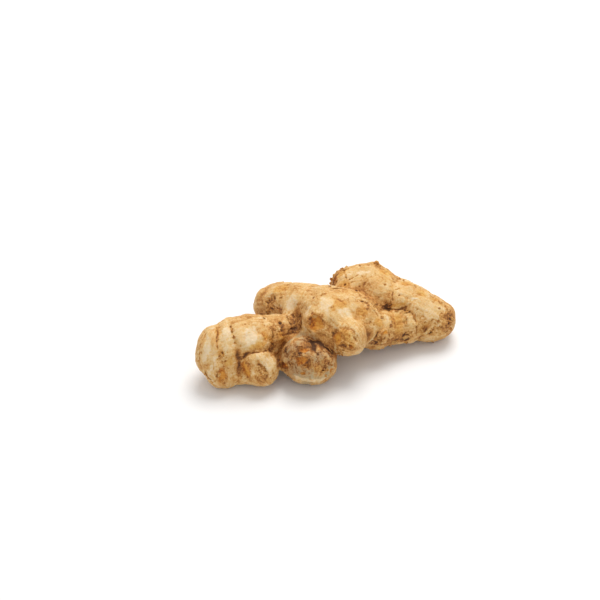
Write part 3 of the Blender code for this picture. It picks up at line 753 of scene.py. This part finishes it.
def add_scars(m, placer):
    """Scars where pieces broke off, each with a crusted rim."""
    bent = warped(m.points, 2.6, 0.8, 70)
    scars = np.maximum(placer.patches(bent, AMBER), placer.hidden_patches(bent, HIDDEN_SCARS))
    scars += 0.6 * m.ragged
    m.amber = rise(scars, 0.36, 0.66)
    m.rim = rise(scars, 0.28, 0.40) * (1 - rise(scars, 0.46, 0.56))
    m.crusted = np.maximum(m.crusted, 0.8 * m.rim)


def add_rings(m):
    """Node rings: a broken line, the lip over it and the band beside it, in millimetres."""
    m.ring, m.lip, m.beside = np.zeros((3, len(m.points)))
    broken = np.maximum(rise(rough(m.points, 5, 9, 2), -0.35, 0.45), 0.6 * m.hidden)
    jitter = 0.6 * rough(m.points, 5, 10, 2) + 0.35 * rough(m.points, 1.8, 11, 2)
    for strength, offset, _ in ring_offsets(m.points, m.fingers):
        offset = offset + jitter
        strength = strength * (1 + 0.6 * m.hidden)
        m.ring = np.maximum(m.ring, strength * broken * np.exp(-((offset / 0.35) ** 2)))
        m.lip += strength * broken * rise(offset, -0.15, 0.25) * np.exp(-np.maximum(offset, 0) / 1.6)
        m.beside = np.maximum(m.beside, strength * np.exp(-((offset / 1.4) ** 2)))


def add_small_marks(m, placer):
    """Pits, buds, flecks, cracks and folds."""
    m.pit, m.bud = np.zeros((2, len(m.points)))
    for across, down, radius in PITS:
        gap = placer.gaps(m.close, across, down)
        m.pit = np.maximum(m.pit, 1 - rise(gap, 0.6 * radius, 1.4 * radius))
    for across, down, radius, tall in BUDS:
        gap = placer.gaps(m.loose, across, down)
        m.bud = np.maximum(m.bud, tall * (1 - rise(gap, 0.3 * radius, 1.3 * radius)))
    m.fleck = rise(placer.patches(m.close, FLECKS), 0.36, 0.64)
    shaken = 0.25 * rough(m.points, 1.6, 12, 2)
    patchy = rise(rough(m.points, 3, 13, 2), -0.75, 0.1)
    m.crack, m.cut = (patchy * line for line in placer.lines(m.points, CRACKS, shaken))
    # Folds: how strongly painted shade lies along them, and how deep they sink.
    m.crease, m.sunk = placer.lines(m.points, CREASES, 0.5 * shaken)


def add_crumbs(m):
    """Crumbs and dots that come by themselves, most of them on crusted skin and beside the rings."""
    busy = 0.02 + 0.20 * m.crusted + 0.45 * m.browned + 0.40 * m.beside
    busy = np.clip(busy, 0, 1) * (1 - 0.9 * m.stub)
    m.dots = rise(rough(m.close, 1.15, 14, 2), 0.66 - 0.34 * busy, 0.84 - 0.30 * busy)
    m.crumbs = rise(rough(m.close, 1.3, 15, 2), 0.50, 0.75) * np.clip(m.crusted + 0.4 * m.beside, 0, 1)


def add_grain(m):
    """Lines along the fingers and down the stub, and the edges where the outer skin has torn."""
    m.grain = m.fingers.grain(0.8, 16)
    m.wrinkle = m.fingers.grain(2.2, 17)
    m.fibre = m.fingers.grain(1.3, 23)
    m.hanging = m.stub * rough(m.loose * (1, 1, 0.35), 1.8, 29, 2)
    m.calm = 1 - 0.6 * np.maximum(m.peeled, m.smooth)
    layer = rough(m.loose, 8, 25, 3)
    m.torn = np.exp(-((layer / 0.09) ** 2)) * rise(rough(m.points, 5, 26, 2), -0.3, 0.3)
    m.upper = rise(layer, -0.10, 0.10)


def relief(m):
    """How far each point moves out of the skin, in millimetres: each mark has its own height."""
    height = m.calm * (0.10 * m.grain + 0.06 * m.small) + 0.22 * m.wrinkle
    height += 0.26 * rough(m.points, 3.4, 18, 3)
    height += m.crusted * (0.26 * rough(m.points, 2.2, 19, 3) + 0.10 * m.tiny)
    height += 0.22 * m.crumbs - 0.14 * m.dots * (0.4 + 0.6 * m.crusted)
    height += 0.10 * (1 - m.peeled) * (1 - m.crusted)
    height += 0.24 * m.rim - 0.34 * m.amber * (1 + 0.3 * m.small) + 0.10 * m.upper - 0.05 * m.torn
    height += 0.26 * m.lip - 0.15 * m.ring + 0.16 * m.hanging
    height += m.bud - 0.6 * m.pit - 0.16 * m.fleck - m.cut - m.sunk
    return height


def skin_tone(m, fine_hollow, broad_hollow):
    """Each point's place on the scale of TONES. Every mark lightens or darkens the skin by a share;
    hollows, folds and some listed places are darkened as painted shade, and fine ridges lightened as
    painted highlight.
    """
    blotch = rough(m.loose, 6, 22, 3)
    tone = 0.57 + 0.06 * m.coarse + 0.06 * m.middle + 0.07 * blotch
    tone = tone + 0.04 * m.calm * m.small + 0.07 * m.pale
    tone += m.calm * (0.12 * m.grain + 0.05 * m.fibre) + 0.13 * m.hanging
    tone += m.peeled * (0.20 + 0.05 * m.middle) + 0.20 * m.crumbs
    # Last on this line: the broad darker places, duller skin and painted shade, darken the tone.
    tone += 0.06 * (m.upper - 0.5) - 0.08 * m.torn - 0.15 * m.dull
    # Brown corky skin darkens the tone, and so does the painted shade listed with it along the seam under
    # the boss.
    tone -= 0.07 * m.ochre + m.browned * (0.19 + 0.10 * m.small + 0.08 * m.fibre) + 0.05 * m.beside
    tone += m.crusted * (0.05 * m.tiny * (1 - m.stub) + 0.10 * rough(m.close, 2.4, 24, 3) - 0.01)
    tone -= 0.18 * m.ring + 0.26 * m.pit + 0.16 * m.fleck + 0.18 * m.crack + 0.11 * m.dots
    # Painted shade along the folds between the lobes.
    tone -= m.crease * (0.11 + 0.07 * m.middle) + 0.16 * m.rim + 0.04 * m.stub
    # Painted shade in fine hollows, partly standing for dirt there, and a painted highlight on fine ridges.
    tone -= 0.9 * np.clip(fine_hollow, -0.10, 0.16) * (1 - 0.5 * m.stub)
    # Painted shade in broad hollows, partly standing for dirt there.
    tone -= 0.28 * np.clip(broad_hollow - 0.05, 0, 0.5)
    return tone


def colour_fields(m, tone):
    """The attributes that the skin's material colours: the scars have tones and tints of their own."""
    streaky = rough(m.close, 1.7, 28, 2)
    scarred = 0.52 + 0.08 * m.middle + 0.10 * m.fibre + 0.22 * streaky
    scarred = scarred - 0.24 * m.browned + 0.20 * m.ochre - 0.12 * m.stub
    return {
        "tone": tone + 0.85 * m.amber * (scarred - tone),
        "warmth": np.clip(0.8 * m.ochre + 0.2 * rise(m.coarse, 0, 0.8), 0, 1),
        "amber": np.clip(m.amber * (0.95 + 0.15 * streaky) * (1 - 0.2 * m.ochre), 0, 1),
        "roughened": m.crusted - m.smooth * (1 - m.crusted),
        "greyed": m.stub * (1 - m.amber) * (1 - 0.7 * m.peeled) * rise(m.middle, -0.6, 0.6),
    }


def dress_skin(skin, placer):
    """Gives the skin its relief, and the attributes that its material colours."""
    mesh = skin.data
    points, normals, edges = mesh_points(mesh), mesh_normals(mesh), mesh_edges(mesh)
    marks = skin_marks(points, normals, placer)
    points = inside_box(points + normals * relief(marks)[:, None] * MM)
    set_points(mesh, points)
    normals = mesh_normals(mesh)
    # How deep each point lies in fine and broad hollows: the tone is darkened there as painted shade.
    hollows = [
        ((averaged(points, edges, rounds) - points) * normals).sum(1) / MM for rounds in HOLLOW_ROUNDS
    ]
    keep_fields(mesh, colour_fields(marks, skin_tone(marks, *hollows)))


def keep_fields(mesh, fields):
    """Keeps values of a mesh's points as attributes."""
    for name, values in fields.items():
        attribute = mesh.attributes.new(name, "FLOAT", "POINT")
        attribute.data.foreach_set("value", values.astype(np.float32))


class Scraps:
    """Thin dry scales and fibres: each is a small closed shell that is rooted in the skin."""

    def __init__(self, placer):
        self.placer = placer
        self.draws = np.random.RandomState(SCRAP_SEED)
        self.points = []
        self.tones = []
        self.faces = []

    def keep(self, points, faces, tone):
        """Adds one piece."""
        first = sum(len(piece) for piece in self.points)
        self.points.append(points)
        self.tones.append(np.full(len(points), tone))
        self.faces.extend([tuple(first + corner for corner in face) for face in faces])

    def ragged(self, reach, count=None):
        """Random values from minus to plus reach."""
        return reach * self.draws.uniform(-1, 1, count)

    def scale(self, place, normal, forward, length, width, lift):
        """A ragged scale that points forward and bends up from the skin, by a lift in degrees."""
        forward = forward - (forward @ normal) * normal
        forward /= np.linalg.norm(forward)
        side = np.cross(normal, forward)
        rows, columns = SCALE_CELLS
        along = np.linspace(-SCALE_ROOT, 1, rows)
        free = np.clip(along, 0, 1)
        angles = math.radians(lift) * (0.35 + 0.65 * free)
        step = length * MM * (along[1] - along[0])
        reach = np.cumsum(np.cos(angles)) * step
        raised = np.cumsum(np.sin(angles)) * step
        reach -= np.interp(0, along, reach)
        raised -= np.interp(0, along, raised)
        across = np.linspace(-1, 1, columns)
        rag = 1 + self.ragged(0.22, columns)
        narrowing = np.sqrt(1 - 0.8 * free**2)
        edge = 1 + self.ragged(0.15, rows)
        curl = self.ragged(0.12)
        middle = (
            place
            + np.multiply.outer(np.outer(reach, rag), forward)
            + np.multiply.outer(np.outer(narrowing * edge, across) * width / 2 * MM, side)
            + np.multiply.outer(np.outer(raised, rag) + curl * width * MM * across**2, normal)
        )
        thick = SCALE_THICKNESS * np.outer(1 - 0.6 * free, 1 - 0.6 * across**2)
        offset = np.multiply.outer(thick / 2, normal)
        both = np.vstack([(middle + offset).reshape(-1, 3), (middle - offset).reshape(-1, 3)])
        self.keep(both, sheet_faces(rows, columns), self.draws.uniform(*SCALE_TONES))

    def fibre(self, places, normals):
        """A thin fibre over the skin, with a taper at both ends."""
        count, sides = FIBRE_CELLS
        share = np.linspace(0, len(places) - 1, count)
        spread = np.arange(len(places))
        line = np.stack([np.interp(share, spread, places[:, i]) for i in range(3)], axis=1)
        away = np.stack([np.interp(share, spread, normals[:, i]) for i in range(3)], axis=1)
        line += self.draws.normal(size=(count, 3)) * FIBRE_STRAY * MM
        arch = np.sin(np.linspace(0, math.pi, count))
        line += away * ((0.5 * arch - 0.15) * MM)[:, None]
        forward = np.gradient(line, axis=0)
        side = np.cross(away, forward)
        side /= np.linalg.norm(side, axis=1)[:, None]
        outward = np.cross(forward, side)
        outward /= np.linalg.norm(outward, axis=1)[:, None]
        radius = FIBRE_RADIUS * (0.35 + 0.65 * arch)[:, None]
        turns = np.arange(sides) * 2 * math.pi / sides
        loops = [line + radius * (math.cos(turn) * side + math.sin(turn) * outward) for turn in turns]
        points = np.stack(loops, axis=1).reshape(-1, 3)
        faces = [tuple(range(sides)), tuple(range((count - 1) * sides, count * sides))]
        for i in range(count - 1):
            for j in range(sides):
                following = (j + 1) % sides
                low, high = i * sides, (i + 1) * sides
                faces.append((low + j, low + following, high + following, high + j))
        self.keep(points, faces, self.draws.uniform(*FIBRE_TONES))

    def seen(self):
        """The scales and fibres that are placed in the picture."""
        for across, down, length, width, angle, lift in SCALES:
            place, normal = self.placer.seen_at(across, down)
            self.scale(place, normal, self.placer.heading(angle), length, width, lift)
        for route in FIBRES:
            hits = [self.placer.seen_at(across, down) for across, down in route]
            self.fibre(np.array([hit[0] for hit in hits]), np.array([hit[1] for hit in hits]))

    def on_rings(self, points, normals):
        """Short broad scales along the node rings, all the way round the fingers."""
        for strength, offset, forward in ring_offsets(points, Fingers(points)):
            near = np.flatnonzero((np.abs(offset) < RING_REACH) & (strength > RING_LEAST))
            if len(near) == 0:
                continue
            for number in self.draws.choice(near, min(SCALES_PER_RING, len(near)), replace=False):
                self.drawn_scale(points[number], normals[number], forward, RING_SCALES)

    def by_chance(self, points, normals):
        """Small scales here and there on the sides that the camera doesn't see."""
        away = np.flatnonzero(normals @ self.placer.back < 0)
        for number in self.draws.choice(away, LOOSE_SCALES, replace=False):
            forward = self.draws.normal(size=3)
            self.drawn_scale(points[number], normals[number], forward, CHANCE_SCALES)

    def drawn_scale(self, place, normal, forward, limits):
        """A scale with its length, width and lift drawn between limits."""
        size = [self.draws.uniform(least, most) for least, most in limits]
        self.scale(place, normal, forward, *size)

    def build(self):
        """The pieces as one object, with the fields that the skin's material colours."""
        mesh = bpy.data.meshes.new("dry_scales")
        points = inside_box(np.vstack(self.points))
        mesh.from_pydata(points.tolist(), [], self.faces)
        made = bmesh.new()
        made.from_mesh(mesh)
        bmesh.ops.recalc_face_normals(made, faces=made.faces)
        made.to_mesh(mesh)
        made.free()
        mesh.shade_smooth()
        tone = np.concatenate(self.tones) + 0.10 * rough(points, 0.7, 40, 2)
        blank = np.zeros(len(points))
        fields = {"tone": tone, "warmth": blank + 0.2, "amber": blank, "roughened": blank, "greyed": blank}
        keep_fields(mesh, fields)
        scraps = bpy.data.objects.new("dry_scales", mesh)
        bpy.context.scene.collection.objects.link(scraps)
        return scraps


def sheet_faces(rows, columns):
    """Faces of two grids of points, one over the other, closed round their edges."""
    layer = rows * columns
    faces = []
    for i in range(rows - 1):
        for j in range(columns - 1):
            first = i * columns + j
            corners = (first, first + 1, first + columns + 1, first + columns)
            faces.append(corners)
            faces.append(tuple(layer + corner for corner in reversed(corners)))
    border = [i * columns for i in range(rows)]
    border += [(rows - 1) * columns + j for j in range(1, columns)]
    border += [i * columns + columns - 1 for i in range(rows - 2, -1, -1)]
    border += list(range(columns - 2, 0, -1))
    for first, second in zip(border, border[1:] + border[:1]):
        faces.append((first, second, layer + second, layer + first))
    return faces


class Nodes:
    """Short calls to build one material's nodes."""

    def __init__(self, name):
        self.material = bpy.data.materials.new(name)
        self.material.use_nodes = True
        self.tree = self.material.node_tree
        self.shader = self.tree.nodes["Principled BSDF"]

    def add(self, kind, inputs=(), **settings):
        """A node of this kind, with its settings and the values or sockets that it takes in."""
        node = self.tree.nodes.new(kind)
        for name, value in settings.items():
            setattr(node, name, value)
        self.feed(node, inputs)
        return node

    def feed(self, node, inputs):
        """Gives a node's sockets their values, or joins them to other sockets."""
        for name, value in dict(inputs).items():
            if isinstance(value, bpy.types.NodeSocket):
                self.tree.links.new(value, node.inputs[name])
            else:
                node.inputs[name].default_value = value

    def attribute(self, name):
        """A field of the mesh's points."""
        return self.add("ShaderNodeAttribute", attribute_name=name).outputs["Fac"]

    def noise(self, size, detail, roughness=0.55):
        """Noise over the root's own space, with features of this size in millimetres."""
        place = self.add("ShaderNodeTexCoord").outputs["Object"]
        inputs = {"Vector": place, "Scale": 1 / (size * MM), "Detail": detail, "Roughness": roughness}
        return self.add("ShaderNodeTexNoise", inputs).outputs["Fac"]

    def math(self, operation, *values):
        """One step of arithmetic."""
        return self.add("ShaderNodeMath", enumerate(values), operation=operation).outputs[0]

    def step(self, value, start, end):
        """Smooth step from 0 at start to 1 at end."""
        inputs = {"Value": value, "From Min": start, "From Max": end}
        return self.add("ShaderNodeMapRange", inputs, interpolation_type="SMOOTHSTEP").outputs["Result"]

    def mix(self, share, first, second, blend="MIX"):
        """Two colours blended by a share."""
        inputs = {0: share, 6: first, 7: second}
        return self.add("ShaderNodeMix", inputs, data_type="RGBA", blend_type=blend).outputs[2]


def skin_material():
    """Mottled ginger skin."""
    n = Nodes("ginger skin")
    fine = n.noise(0.75, 4, 0.7)
    grit = n.noise(0.4, 2)
    speck = n.noise(0.55, 2)
    mottled = n.math("MULTIPLY_ADD", n.attribute("roughened"), 0.3, 0.8)
    mottle = n.math("MULTIPLY", n.math("SUBTRACT", fine, 0.5), mottled)
    tone = n.math("ADD", n.attribute("tone"), mottle)
    tone = n.math("ADD", tone, n.math("MULTIPLY_ADD", grit, GRIT_SHARE, -GRIT_SHARE / 2))
    tone = n.math("SUBTRACT", tone, n.math("MULTIPLY", n.step(speck, 0.62, 0.72), SPECK_SHARE))
    ramp = n.add("ShaderNodeValToRGB", {"Fac": tone})
    stops = ramp.color_ramp.elements
    stops.remove(stops[0])
    for number, (place, colour) in enumerate(TONES):
        stop = stops[0] if number == 0 else stops.new(place)
        stop.position = place
        stop.color = colour
    light = n.math("MULTIPLY", n.attribute("greyed"), n.step(tone, 0.15, 0.55))
    colour = n.mix(n.math("MULTIPLY", light, TINT_SHARE), ramp.outputs["Color"], GREY_TONE)
    warmth = n.math("MULTIPLY", n.attribute("warmth"), TINT_SHARE)
    colour = n.mix(warmth, colour, OCHRE_TINT, "MULTIPLY")
    colour = n.mix(n.attribute("amber"), colour, AMBER_TINT, "MULTIPLY")
    height = n.math("MULTIPLY_ADD", grit, 0.4, fine)
    bump = n.add("ShaderNodeBump", {"Strength": 0.9, "Distance": BUMP_DEPTH, "Height": height})
    sockets = {
        "Base Color": colour,
        "Roughness": n.math("MULTIPLY_ADD", tone, -0.20, 0.76),
        "Normal": bump.outputs["Normal"],
        "Specular IOR Level": 0.35,
        "Subsurface Weight": 0.10,
        "Subsurface Radius": (1.0, 0.45, 0.2),
        "Subsurface Scale": FLESH_DEPTH,
    }
    n.feed(n.shader, sockets)
    return n.material


def make_floor():
    """A plain pale floor."""
    bpy.ops.mesh.primitive_plane_add(size=FLOOR_SIZE)
    floor = bpy.context.object
    floor.name = "floor"
    n = Nodes("pale floor")
    n.feed(n.shader, {"Base Color": FLOOR_COLOUR, "Roughness": 0.9, "Specular IOR Level": 0.1})
    floor.data.materials.append(n.material)


def make_light():
    """Soft white surroundings, and a broad square light above and behind the root."""
    world = bpy.data.worlds.new("studio")
    world.use_nodes = True
    background = world.node_tree.nodes["Background"]
    background.inputs["Color"].default_value = (1, 1, 1, 1)
    background.inputs["Strength"].default_value = WORLD_STRENGTH
    bpy.context.scene.world = world
    data = bpy.data.lights.new("key", "AREA")
    data.size = KEY_SIZE
    data.energy = KEY_POWER
    light = bpy.data.objects.new("key", data)
    light.location = KEY_PLACE
    light.rotation_euler = KEY_PLACE.to_track_quat("Z", "Y").to_euler()
    bpy.context.scene.collection.objects.link(light)


def main():
    """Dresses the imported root, and sets it on its floor in its light."""
    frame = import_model()
    camera = make_camera()
    skin = fine_skin(frame["nodes"]["rhizome"])
    dress_skin(skin, Placer(skin, camera))
    scraps = Scraps(Placer(skin, camera))
    points, normals = mesh_points(skin.data), mesh_normals(skin.data)
    scraps.seen()
    scraps.on_rings(points, normals)
    scraps.by_chance(points, normals)
    scales = scraps.build()
    material = skin_material()
    for piece in (skin, scales):
        piece.data.materials.clear()
        piece.data.materials.append(material)
        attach(piece, "root")
    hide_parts("rhizome")
    make_floor()
    make_light()
    bpy.context.scene.view_settings.view_transform = "Standard"


main()
